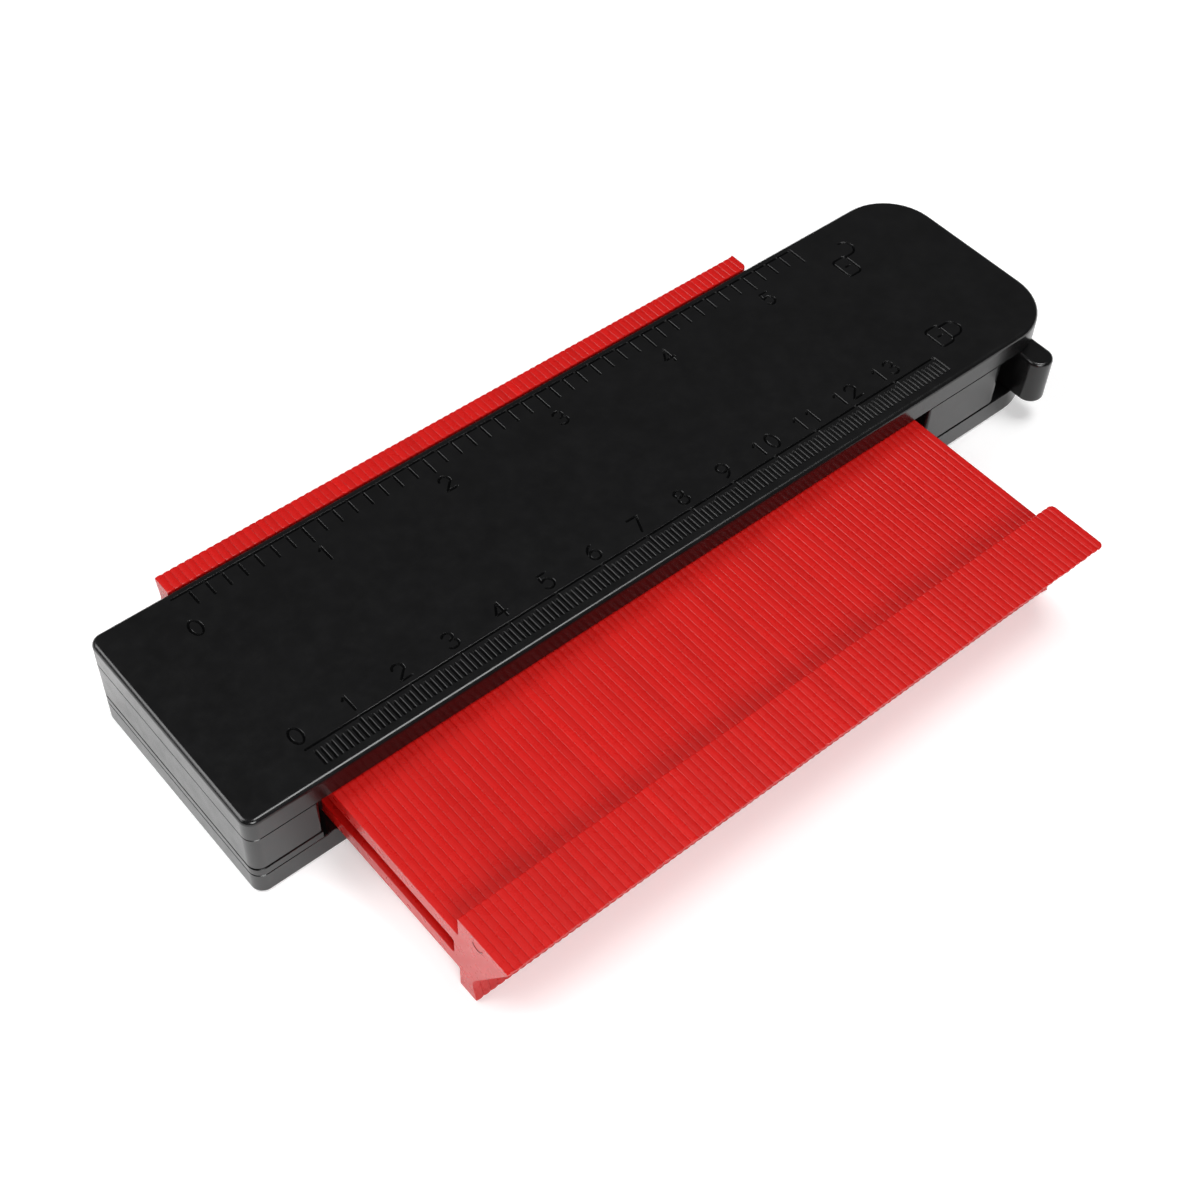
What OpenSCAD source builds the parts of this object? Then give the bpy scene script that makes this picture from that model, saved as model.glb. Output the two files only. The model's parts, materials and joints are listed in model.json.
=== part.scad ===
// Contour gauge with a locking lever: a row of thin red tines slides through a flat black body,
// takes up the outline that it is pressed against, and is clamped there by a cam lever at one end.
// Origin at the centre of the body's underside, +X along the row of tines towards the lever,
// -Y towards the long-nosed ends of the tines, +Z up. Millimetres.

/* [Body] */
// Depth of the body, front face to back face
body_w = 46; // [40:1:60]
// Height of the body, underside to top
body_h = 20; // [18:0.5:26]
// Corner radius of the body at the plain end
plain_corner_r = 2.2; // [1.5:0.1:6]
// Corner radius of the body at the lever end
lever_corner_r = 11; // [8:0.5:12]
// Rounding along the upper edge of the top cover
top_edge_r = 0.9; // [0.5:0.1:1.4]
// How far the lower edge of the bottom cover is set in
foot_inset = 0.4; // [0.2:0.1:1.2]
// Height over which that lower edge slopes in
foot_slope_h = 0.6; // [0.4:0.1:2]
// Thickness of the flat skin of both covers
skin_t = 2.1; // [1.6:0.1:3]
// Thickness of the covers' front and back rims
rim_t = 2.4; // [1.8:0.1:3.5]
// Thickness of the guide ribs inside the covers
rib_t = 1.6; // [1:0.1:2.4]
// Height of the shadow line below each end block
seam_h = 0.35; // [0.2:0.05:0.6]
// Depth of that shadow line
seam_d = 0.5; // [0.3:0.1:1]

/* [Row of tines] */
// Number of pairs of tines in the row
pair_count = 46; // [30:1:48]
// Thickness of one tine
tine_t = 1.36; // [1:0.02:1.8]
// Gap between neighbouring tines
tine_gap = 0.05; // [0.03:0.01:0.1]
// How far each tine slides
tine_travel = 31.6; // [20:0.2:45]
// Height of a tine's shank
shank_h = 10; // [8:0.5:11]
// Height of the long slot in the shank
slot_h = 3.7; // [3.5:0.1:5]
// Solid length left between the slot and each head
slot_end_l = 1.2; // [0.8:0.1:3]
// Length of a head along its long nose
nose_l = 12.05; // [9:0.05:16]
// Blunt height at the tip of the nose
nose_tip_t = 0.4; // [0.2:0.1:1]
// Length of a head along its short toe
toe_l = 4.3; // [3:0.1:6]
// Depth of the toe's undercut corner, measured from the head's shoulder
undercut_l = 3.1; // [2:0.1:4]
// Height of the toe up to the undercut corner
toe_h = 4.7; // [3:0.1:6]

/* [Ends] */
// Length of the end block at the plain end
plain_block_l = 12.8; // [10:0.2:18]
// Height of the bottom cover's raised seat under that block
plain_seat_h = 1.75; // [1:0.05:3]
// Clear space seen between that block and the first tine
plain_reveal_l = 2.55; // [1.5:0.05:5]
// Length of the end block at the lever end
lever_block_l = 21.5; // [16:0.5:30]
// Corner radius of that block, next to the lever
block_corner_r = 3; // [1:0.5:5]
// Length of the bay in which the lever swings
lever_bay_l = 13.7; // [12.5:0.1:18]
// How far the clamping faces stand back from the front and back of the body
pad_setback = 3.5; // [2:0.1:6]

/* [Lock] */
// Thickness of the pressure plate
plate_t = 2; // [1.5:0.1:3]
// How far the pressure plate moves between locked and open
clamp_travel = 1.3; // [0.6:0.1:1.6]
// Diameter of the plunger that pushes the plate
plunger_d = 6; // [4:0.5:7]
// Depth of the plunger's socket in the plate
plunger_socket_h = 1; // [0.5:0.1:1.2]
// Distance from the lever's pivot to the end of the body
pivot_setback = 8.05; // [7.5:0.05:9]
// Largest radius of the lever's cam
cam_r = 5.2; // [4.8:0.1:5.4]
// Diameter of the lever's pivot pin
pin_d = 4; // [3:0.1:4.4]
// Length of the pivot pin inside each cover
pin_seat_h = 3.2; // [2:0.1:3.6]
// Reach of the lever from its pivot to its tip
lever_reach = 28.4; // [26:0.2:40]
// Width of the lever's arm
lever_arm_w = 5.5; // [4:0.1:6]

/* [Rods and screws] */
// Diameter of the guide rods that pass through the slots
rod_d = 3.2; // [2.5:0.1:3.4]
// Distance between the two guide rods
rod_spacing = 26; // [20:0.5:30]
// Depth of the rods' seats in the end blocks
rod_seat_l = 7; // [4:0.5:9]
// Diameter of the case screws
screw_d = 3; // [2:0.1:3.5]
// Distance between the two screws at each end
screw_spacing = 34; // [32:0.5:36]
// Diameter of a screw head
screw_head_d = 5.2; // [4.5:0.1:6]
// Height of a screw head
screw_head_h = 1.8; // [1.2:0.1:2]
// How far a screw head is sunk below the underside
screw_sink = 0.5; // [0.2:0.1:0.8]
// Length of a screw's thread inside the top cover
screw_bite = 3; // [2:0.1:3.4]

/* [Clearances] */
// Play above and below the shanks, the plate and the lever
slide_play = 0.15; // [0.12:0.01:0.3]
// Gap between a head's shoulder and the body at the end of the travel
stop_gap = 0.15; // [0.1:0.01:0.4]
// How far the heads stay inside the body's top and underside
head_relief = 0.1; // [0.05:0.05:0.4]
// Gap between a clamping face and the tine next to it
contact_gap = 0.1; // [0.08:0.01:0.2]
// Room left behind the pressure plate when it is open
plate_spare = 0.35; // [0.2:0.05:1]
// Gap between the cam and the plunger
cam_gap = 0.15; // [0.12:0.01:0.3]
// Radial play of sliding and turning round fits
round_play = 0.06; // [0.03:0.01:0.1]
// Radial play of fixed pins, rods and screws in their holes
seat_play = 0.03; // [0.02:0.01:0.06]
// Radial room where the rods pass through the pressure plate
rod_room = 0.25; // [0.2:0.05:0.4]

/* [Hidden] */
$fn = 48;
cut = 1;
tine_red = [0.80, 0.09, 0.07];
body_black = [0.09, 0.09, 0.10];
steel = [0.72, 0.73, 0.75];

// Heights: the shanks run in a window between the two covers
cover_h = (body_h - shank_h) / 2 - slide_play;
window_lo = cover_h;
window_hi = body_h - cover_h;
mid_h = body_h / 2;

// Lengths along the row, from the plain end to the lever end
tines_in_pair = 2;
pitch = tine_t + tine_gap;
stack_l = tines_in_pair * pair_count * pitch - tine_gap;
plate_space_l = contact_gap + plate_t + clamp_travel + plate_spare;
body_l = plain_block_l + plain_reveal_l + stack_l + plate_space_l + lever_block_l + lever_bay_l;
x_plain = -body_l / 2;
x_plain_block = x_plain + plain_block_l;
x_stack = x_plain_block + plain_reveal_l;
x_stack_end = x_stack + stack_l;
x_plate = x_stack_end + contact_gap;
x_lever_block = x_stack_end + plate_space_l;
x_bay = x_lever_block + lever_block_l;
x_lever = body_l / 2;
x_pivot = x_lever - pivot_setback;
pad_w = body_w - 2 * pad_setback;

// Tines: shank between the heads' shoulders, centred at rest half the travel in front of the body
shank_l = body_w + 2 * stop_gap + tine_travel;
tine_y = -tine_travel / 2;
head_h = body_h - 2 * head_relief;

// Lock: the cam's radius falls evenly over the lever's half turn
cam_drop = clamp_travel;
cam_step = 6;
plunger_end = x_pivot - cam_r - cam_gap;

// Screws: one line of two at the middle of each end block
screw_x = [x_plain + plain_block_l / 2, x_lever_block + lever_block_l / 2];
screw_top = window_hi + screw_bite;

pair_names = [for (i = [1 : pair_count]) str("tine_pair_", i < 10 ? "0" : "", i)];

// Body plan: small corners at the plain end, large corners at the lever end
module body_plan(inset) {
    w = body_w - 2 * inset;
    x0 = x_plain + inset;
    x1 = x_lever - inset;
    r0 = plain_corner_r - inset;
    r1 = lever_corner_r - inset;
    translate([x0 + r0, -w / 2]) square([x1 - r1 - x0 - r0, w]);
    translate([x0, -w / 2 + r0]) square([r0, w - 2 * r0]);
    translate([x1 - r1, -w / 2 + r1]) square([r1, w - 2 * r1]);
    for (side = [-1, 1]) {
        translate([x0 + r0, side * (w / 2 - r0)]) circle(r0);
        translate([x1 - r1, side * (w / 2 - r1)]) circle(r1);
    }
}

// Slab on the body plan whose rim follows the profile of one cover, with a raised seat of the given
// height at the plain end; the profile is drawn for a given half width, with the rim at its outer side
module slab(kind, seat) {
    seat_l = plain_block_l - plain_corner_r;
    long_prism(kind, x_plain + plain_corner_r, seat_l, seat);
    long_prism(kind, x_plain_block, body_l - plain_block_l - lever_corner_r, 0);
    end_strip(kind, x_plain, plain_corner_r, 180, seat);
    end_strip(kind, x_lever, lever_corner_r, 0, 0);
    for (side = [-1, 1]) {
        corner(kind, x_plain + plain_corner_r, side, plain_corner_r, side > 0 ? 90 : 180, seat);
        corner(kind, x_lever - lever_corner_r, side, lever_corner_r, side > 0 ? 0 : 270, 0);
    }
}

module long_prism(kind, x, l, seat) {
    translate([x, 0, 0])
        rotate([90, 0, 90])
            linear_extrude(l) {
                rim_profile(kind, body_w / 2, seat);
                mirror([1, 0]) rim_profile(kind, body_w / 2, seat);
            }
}

module end_strip(kind, x_end, r, turn, seat) {
    l = body_w - 2 * r;
    translate([x_end, 0, 0])
        rotate([0, 0, turn])
            translate([-r, l / 2, 0])
                rotate([90, 0, 0])
                    linear_extrude(l) rim_profile(kind, r, seat);
}

module corner(kind, x, side, r, turn, seat) {
    translate([x, side * (body_w / 2 - r), 0])
        rotate([0, 0, turn])
            rotate_extrude(angle = 90) rim_profile(kind, r, seat);
}

module rim_profile(kind, half, seat) {
    h = cover_h + seat;
    if (kind == "top") {
        difference() {
            square([half, h]);
            translate([half - top_edge_r, h - top_edge_r])
                difference() {
                    square(top_edge_r + cut);
                    circle(top_edge_r);
                }
        }
    } else {
        polygon([[0, 0], [half - foot_inset, 0], [half, foot_slope_h], [half, h], [0, h]]);
    }
}

// Hollow under a cover's skin, above the window of the tines, crossed by two guide ribs
module cover_hollow() {
    x0 = x_plain_block + rim_t;
    x1 = x_lever_block - rim_t;
    w = body_w - 2 * rim_t;
    bay_w = (w - 2 * rib_t) / 3;
    for (i = [-1 : 1])
        translate([x0, i * (bay_w + rib_t) - bay_w / 2, 0])
            cube([x1 - x0, bay_w, cover_h - skin_t + cut]);
}

// Hole pattern of the case screws
module at_screws() {
    for (x = screw_x)
        for (side = [-1, 1])
            translate([x, side * screw_spacing / 2, 0]) children();
}

module top_cover() {
    color(body_black)
        difference() {
            translate([0, 0, window_hi]) slab("top", 0);
            translate([0, 0, window_hi - cut]) cover_hollow();
            at_screws()
                translate([0, 0, window_hi - cut]) cylinder(d = screw_d + 2 * seat_play, h = screw_bite + cut);
            translate([x_pivot, 0, window_hi - cut]) cylinder(d = pin_d + 2 * seat_play, h = pin_seat_h + cut);
        }
}

module bottom_cover() {
    color(body_black)
        difference() {
            slab("bottom", plain_seat_h);
            translate([0, 0, skin_t]) cover_hollow();
            at_screws() {
                translate([0, 0, -cut])
                    cylinder(d = screw_head_d + 4 * seat_play, h = screw_sink + screw_head_h + cut);
                translate([0, 0, -cut]) cylinder(d = screw_d + 2 * seat_play, h = body_h);
            }
            translate([x_pivot, 0, window_lo - pin_seat_h])
                cylinder(d = pin_d + 2 * seat_play, h = pin_seat_h + cut);
        }
}

// Plan of the plain end block, with the clamping face that the first tine bears on
module plain_block_plan(inset) {
    intersection() {
        body_plan(inset);
        translate([x_plain, -body_w]) square([plain_block_l - inset, 2 * body_w]);
    }
    translate([x_plain_block - cut - inset, -pad_w / 2])
        square([plain_reveal_l - contact_gap + cut + inset, pad_w]);
}

module plain_end_block() {
    seat = window_lo + plain_seat_h;
    color(body_black)
        difference() {
            union() {
                translate([0, 0, seat]) linear_extrude(seam_h) plain_block_plan(seam_d);
                translate([0, 0, seat + seam_h]) linear_extrude(window_hi - seat - seam_h) plain_block_plan(0);
            }
            at_screws() cylinder(d = screw_d + 2 * seat_play, h = body_h);
            at_rods() rod_bore(x_stack - contact_gap - rod_seat_l, x_stack, seat_play);
        }
}

// Plan of the lever end block: square towards the tines, rounded towards the lever
module lever_block_plan(inset) {
    w = body_w - 2 * inset;
    translate([x_lever_block + inset, -w / 2]) square([lever_block_l - block_corner_r - inset, w]);
    translate([x_bay - block_corner_r, -body_w / 2 + block_corner_r])
        square([block_corner_r - inset, body_w - 2 * block_corner_r]);
    for (side = [-1, 1])
        translate([x_bay - block_corner_r, side * (body_w / 2 - block_corner_r)]) circle(block_corner_r - inset);
}

module lever_end_block() {
    color(body_black)
        difference() {
            union() {
                translate([0, 0, window_lo]) linear_extrude(seam_h) lever_block_plan(seam_d);
                translate([0, 0, window_lo + seam_h])
                    linear_extrude(window_hi - window_lo - seam_h) lever_block_plan(0);
            }
            at_screws() cylinder(d = screw_d + 2 * seat_play, h = body_h);
            at_rods() rod_bore(x_lever_block - cut, x_lever_block + rod_seat_l, seat_play);
            translate([x_lever_block - cut, 0, mid_h])
                rotate([0, 90, 0]) cylinder(d = plunger_d + 2 * round_play, h = lever_block_l + 2 * cut);
        }
}

// Places of the two guide rods
module at_rods() {
    for (side = [-1, 1])
        translate([0, side * rod_spacing / 2, mid_h]) children();
}

module rod_bore(x0, x1, play) {
    translate([x0, 0, 0]) rotate([0, 90, 0]) cylinder(d = rod_d + 2 * play, h = x1 - x0);
}

// Steel rod through the slots of all the tines, seated in both end blocks
module guide_rod(side) {
    x0 = x_stack - contact_gap - rod_seat_l;
    x1 = x_lever_block + rod_seat_l;
    color(steel) translate([0, side * rod_spacing / 2, mid_h]) rod_bore(x0, x1, 0);
}

module pressure_plate() {
    plate_h = shank_h;
    color(body_black)
        difference() {
            translate([x_plate, -pad_w / 2, mid_h - plate_h / 2]) cube([plate_t, pad_w, plate_h]);
            at_rods() rod_bore(x_plate - cut, x_plate + plate_t + cut, rod_room);
            translate([x_plate + plate_t - plunger_socket_h, 0, mid_h])
                rotate([0, 90, 0]) cylinder(d = plunger_d + 2 * seat_play, h = plunger_socket_h + cut);
        }
}

// Round pin that carries the cam's push through the lever end block to the plate
module plunger() {
    x0 = x_plate + plate_t - plunger_socket_h;
    color(steel)
        translate([x0, 0, mid_h]) rotate([0, 90, 0]) cylinder(d = plunger_d, h = plunger_end - x0);
}

// Cam outline about the pivot: full radius where it meets the plunger, falling evenly over half a turn
function cam_radius(a) = cam_r - cam_drop * (180 - a) / 180;
cam_points = [for (a = [0 : cam_step : 180]) cam_radius(a) * [cos(a), sin(a)]];

module lever_plan() {
    tip_r = lever_arm_w / 2;
    polygon(concat(cam_points, [[-cam_r, -cam_r / 2], [cam_radius(0), -cam_r / 2]]));
    translate([-tip_r, -lever_reach + tip_r]) square([lever_arm_w, lever_reach - tip_r]);
    translate([0, -lever_reach + tip_r]) circle(tip_r);
}

module lock_lever() {
    color(body_black)
        translate([x_pivot, 0, mid_h - shank_h / 2])
            difference() {
                linear_extrude(shank_h) lever_plan();
                translate([0, 0, -cut]) cylinder(d = pin_d + 2 * round_play, h = shank_h + 2 * cut);
            }
}

module lever_pin() {
    z0 = window_lo - pin_seat_h;
    color(steel) translate([x_pivot, 0, z0]) cylinder(d = pin_d, h = window_hi + pin_seat_h - z0);
}

// Case screws, put in from below: sunk head with a cross slot, shank through the block into the top cover
module case_screws() {
    slot_w = screw_head_d / 6;
    slot_l = screw_head_d * 0.6;
    color(steel)
        at_screws()
            difference() {
                union() {
                    translate([0, 0, screw_sink]) cylinder(d = screw_head_d, h = screw_head_h);
                    translate([0, 0, screw_sink + screw_head_h])
                        cylinder(d = screw_d, h = screw_top - screw_sink - screw_head_h);
                }
                for (turn = [0, 90])
                    rotate([0, 0, turn])
                        translate([-slot_l / 2, -slot_w / 2, screw_sink - cut])
                            cube([slot_l, slot_w, cut + screw_head_h / 2]);
            }
}

// Front half of a tine's outline about its centre: shoulder, toe, undercut, long nose, shoulder.
// The back half is the same outline turned by half a turn.
half_shank = shank_l / 2;
front_half = [
    [-half_shank, -shank_h / 2],
    [-half_shank, -head_h / 2],
    [-half_shank - toe_l, -head_h / 2],
    [-half_shank - undercut_l, -head_h / 2 + toe_h],
    [-half_shank - nose_l, head_h / 2 - nose_tip_t],
    [-half_shank - nose_l, head_h / 2],
    [-half_shank, head_h / 2],
    [-half_shank, shank_h / 2]];

module tine_outline() {
    slot_l = shank_l - 2 * slot_end_l;
    difference() {
        polygon(concat(front_half, [for (p = front_half) -p]));
        translate([-slot_l / 2, -slot_h / 2]) square([slot_l, slot_h]);
    }
}

// Two neighbouring tines, each a plate of its own
module tine_pair(i) {
    color(tine_red)
        for (k = [0 : tines_in_pair - 1])
            translate([x_stack + (tines_in_pair * i + k) * pitch, tine_y, mid_h])
                rotate([90, 0, 90]) linear_extrude(tine_t) tine_outline();
}

top_cover();
bottom_cover();
plain_end_block();
lever_end_block();
guide_rod(-1);  // front_guide_rod
guide_rod(1);  // back_guide_rod
pressure_plate();
plunger();
lock_lever();
lever_pin();
case_screws();
for (i = [0 : pair_count - 1])
    tine_pair(i);
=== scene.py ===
"""Looks of a contour gauge: a flat black body, a row of red sliding tines and a cam lever that clamps them.

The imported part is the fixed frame. Every shown piece is a surface worked out with numpy, in metres, in the
part's own frame: +X along the row of tines towards the lever, -Y towards the long noses, +Z up.
"""
import json
import logging
import math
from dataclasses import dataclass, field
from enum import Enum
from typing import ClassVar, Sequence

import bmesh
import bpy
import numpy as np
from mathutils import Matrix, Vector
from mathutils.geometry import delaunay_2d_cdt


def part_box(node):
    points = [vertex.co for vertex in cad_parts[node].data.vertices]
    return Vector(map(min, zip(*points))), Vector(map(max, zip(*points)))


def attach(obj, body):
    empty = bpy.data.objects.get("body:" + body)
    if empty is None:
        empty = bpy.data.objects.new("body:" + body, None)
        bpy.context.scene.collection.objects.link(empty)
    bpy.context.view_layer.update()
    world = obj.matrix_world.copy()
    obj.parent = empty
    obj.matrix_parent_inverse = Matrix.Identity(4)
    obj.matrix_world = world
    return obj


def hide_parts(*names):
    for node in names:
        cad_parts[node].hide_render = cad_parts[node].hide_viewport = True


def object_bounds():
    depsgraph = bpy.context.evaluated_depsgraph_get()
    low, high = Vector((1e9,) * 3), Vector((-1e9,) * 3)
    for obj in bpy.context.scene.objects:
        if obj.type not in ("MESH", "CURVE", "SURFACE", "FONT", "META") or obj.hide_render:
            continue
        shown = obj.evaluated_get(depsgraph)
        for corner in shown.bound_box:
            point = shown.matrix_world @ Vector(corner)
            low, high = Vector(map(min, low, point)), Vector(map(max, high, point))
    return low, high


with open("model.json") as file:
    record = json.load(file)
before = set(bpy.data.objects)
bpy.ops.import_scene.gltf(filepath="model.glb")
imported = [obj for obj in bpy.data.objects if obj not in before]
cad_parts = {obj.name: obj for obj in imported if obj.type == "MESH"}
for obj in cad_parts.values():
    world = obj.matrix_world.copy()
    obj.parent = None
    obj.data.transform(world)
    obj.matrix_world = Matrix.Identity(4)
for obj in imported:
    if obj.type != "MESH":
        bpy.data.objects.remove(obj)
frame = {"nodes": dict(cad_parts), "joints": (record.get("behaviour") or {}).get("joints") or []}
CAD_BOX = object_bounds()

LOG = logging.getLogger("contour_gauge")
MM = 0.001
WELD = 0.002 * MM  # points closer than this become one
CUT_GAP = 0.01 * WELD  # the same, while a face is cut into triangles
KEEP_INSIDE = 1  # the cut keeps the triangles inside the outer outline
CREASE_DEG = 12.5  # edges that bend more than this stay sharp
FLAT_WEIGHT = 100  # large faces govern the shading beside them
CORNER_SHARE = 0.45  # most of an edge that one softened corner takes
EVEN = (1.0, 1.0, 1.0)  # no stretch along any axis

Points = np.ndarray
Profile = Sequence[tuple[float, float]]


class Facing(Enum):
    """Which frame axes an outline's own u, v and height go to."""

    UP = (0, 1, 2)
    ALONG_ROW = (2, 0, 1)


# Outlines

def arc(centre: Sequence[float], radius: float | Sequence[float], start: float, end: float,
        steps: int) -> Points:
    """Points centre + radius (cos a, sin a), with a going evenly from start to end.

    Args:
        centre: Middle of the arc.
        radius: One radius, or the two half axes of an ellipse.
        start: First angle in degrees.
        end: Last angle in degrees.
        steps: Number of points.

    Returns:
        Points of shape (steps, 2).
    """
    angle = np.radians(np.linspace(start, end, steps))
    return np.asarray(centre) + np.column_stack((np.cos(angle), np.sin(angle))) * np.broadcast_to(radius, 2)


def ring(centre: Sequence[float], radius: float | Sequence[float], steps: int) -> Points:
    """Closed circle or ellipse, counter-clockwise, without a doubled last point."""
    return arc(centre, radius, 0.0, 360.0, steps + 1)[:-1]


def rounded_box(low: Sequence[float], high: Sequence[float], left_r: float, right_r: float,
                steps: int = 13) -> Points:
    """Rectangle whose left and right corners are quarter circles of their own radii, counter-clockwise.

    Args:
        low: Corner with the smallest coordinates.
        high: Corner with the largest coordinates.
        left_r: Radius of the two corners at low u.
        right_r: Radius of the two corners at high u.
        steps: Points on each corner.

    Returns:
        The closed outline.
    """
    return np.concatenate((
        arc((high[0] - right_r, low[1] + right_r), right_r, 270.0, 360.0, steps),
        arc((high[0] - right_r, high[1] - right_r), right_r, 0.0, 90.0, steps),
        arc((low[0] + left_r, high[1] - left_r), left_r, 90.0, 180.0, steps),
        arc((low[0] + left_r, low[1] + left_r), left_r, 180.0, 270.0, steps)))


def soften(outline: Points, reach: float | Points, steps: int = 4) -> Points:
    """Closed outline with every corner p replaced by the curve (1-t)^2 a + 2t(1-t) p + t^2 b.

    Args:
        outline: Corners in order.
        reach: Distance from each corner to a and b along its two edges.
        steps: Points on each curve.

    Returns:
        The softened outline.
    """
    to_last = np.roll(outline, 1, axis=0) - outline
    to_next = np.roll(outline, -1, axis=0) - outline
    length_last = np.linalg.norm(to_last, axis=1)
    length_next = np.linalg.norm(to_next, axis=1)
    limit = np.minimum(length_last, length_next) * CORNER_SHARE
    cut = np.minimum(np.broadcast_to(reach, len(outline)), limit)
    a = (outline + to_last * (cut / length_last)[:, None])[:, None]
    b = (outline + to_next * (cut / length_next)[:, None])[:, None]
    t = np.linspace(0.0, 1.0, steps)[None, :, None]
    return ((1 - t) ** 2 * a + 2 * t * (1 - t) * outline[:, None] + t ** 2 * b).reshape(-1, 2)


def inset(outline: Points, depth: float) -> Points:
    """Closed outline moved into the material by depth, along the bisector of each point's two edges.

    Args:
        outline: Outer outline counter-clockwise, or a hole clockwise.
        depth: Distance between the old and the new edges.

    Returns:
        The moved outline.
    """
    edge = np.roll(outline, -1, axis=0) - outline
    edge = edge / np.linalg.norm(edge, axis=1)[:, None]
    normal = np.column_stack((-edge[:, 1], edge[:, 0]))
    before = np.roll(normal, 1, axis=0)
    return outline + depth * (normal + before) / (1.0 + (normal * before).sum(axis=1))[:, None]


def round_over(radius: float, top: float, steps: int = 10) -> list[tuple[float, float]]:
    """Quarter-round upper edge: r (1 - cos a) in and r (1 - sin a) below the top, for a from 0 to 90 degrees.

    Args:
        radius: Radius r of the edge.
        top: Height of the face above it.
        steps: Number of pairs.

    Returns:
        Pairs of inset and height, upwards.
    """
    angle = np.radians(np.linspace(0.0, 90.0, steps))
    return list(zip(radius * (1 - np.cos(angle)), top - radius * (1 - np.sin(angle))))


def round_under(radius: float, base: float, steps: int = 10) -> list[tuple[float, float]]:
    """Quarter-round lower edge as (inset, height) pairs, from the base upwards."""
    return [(depth, base - height) for depth, height in reversed(round_over(radius, 0.0, steps))]


def inside(points: Points, outlines: Sequence[Points]) -> Points:
    """Tells which points lie inside: a ray towards +u crosses the outlines an odd number of times.

    Args:
        points: Points of shape (n, 2).
        outlines: Closed outlines, holes among them.

    Returns:
        Boolean array of length n.
    """
    start = np.concatenate(outlines)
    end = np.concatenate([np.roll(o, -1, axis=0) for o in outlines])
    u, v = points[:, :1], points[:, 1:]
    spans = (start[:, 1] > v) != (end[:, 1] > v)
    rise = np.where(spans, end[:, 1] - start[:, 1], 1.0)
    crossing = start[:, 0] + (v - start[:, 1]) / rise * (end[:, 0] - start[:, 0])
    return (spans & (crossing > u)).sum(axis=1) % 2 == 1


def triangulated(outlines: Sequence[Points]) -> tuple[Points, Points]:
    """Cuts the area inside the first outline into triangles whose edges keep to all the outlines.

    Args:
        outlines: Closed outlines, which may cross each other.

    Returns:
        Points of shape (n, 2), and the corners of each triangle, counter-clockwise.
    """
    sizes = [len(o) for o in outlines]
    firsts = np.concatenate(([0], np.cumsum(sizes)[:-1])).tolist()
    edges = [(f + k, f + (k + 1) % n) for f, n in zip(firsts, sizes) for k in range(n)]
    spots = [Vector(p) for p in np.concatenate(outlines).tolist()]
    made, _, triangles, *_ = delaunay_2d_cdt(spots, edges, [], KEEP_INSIDE, CUT_GAP)
    return np.array([tuple(p) for p in made]), np.array(triangles)


# Meshes

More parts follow.
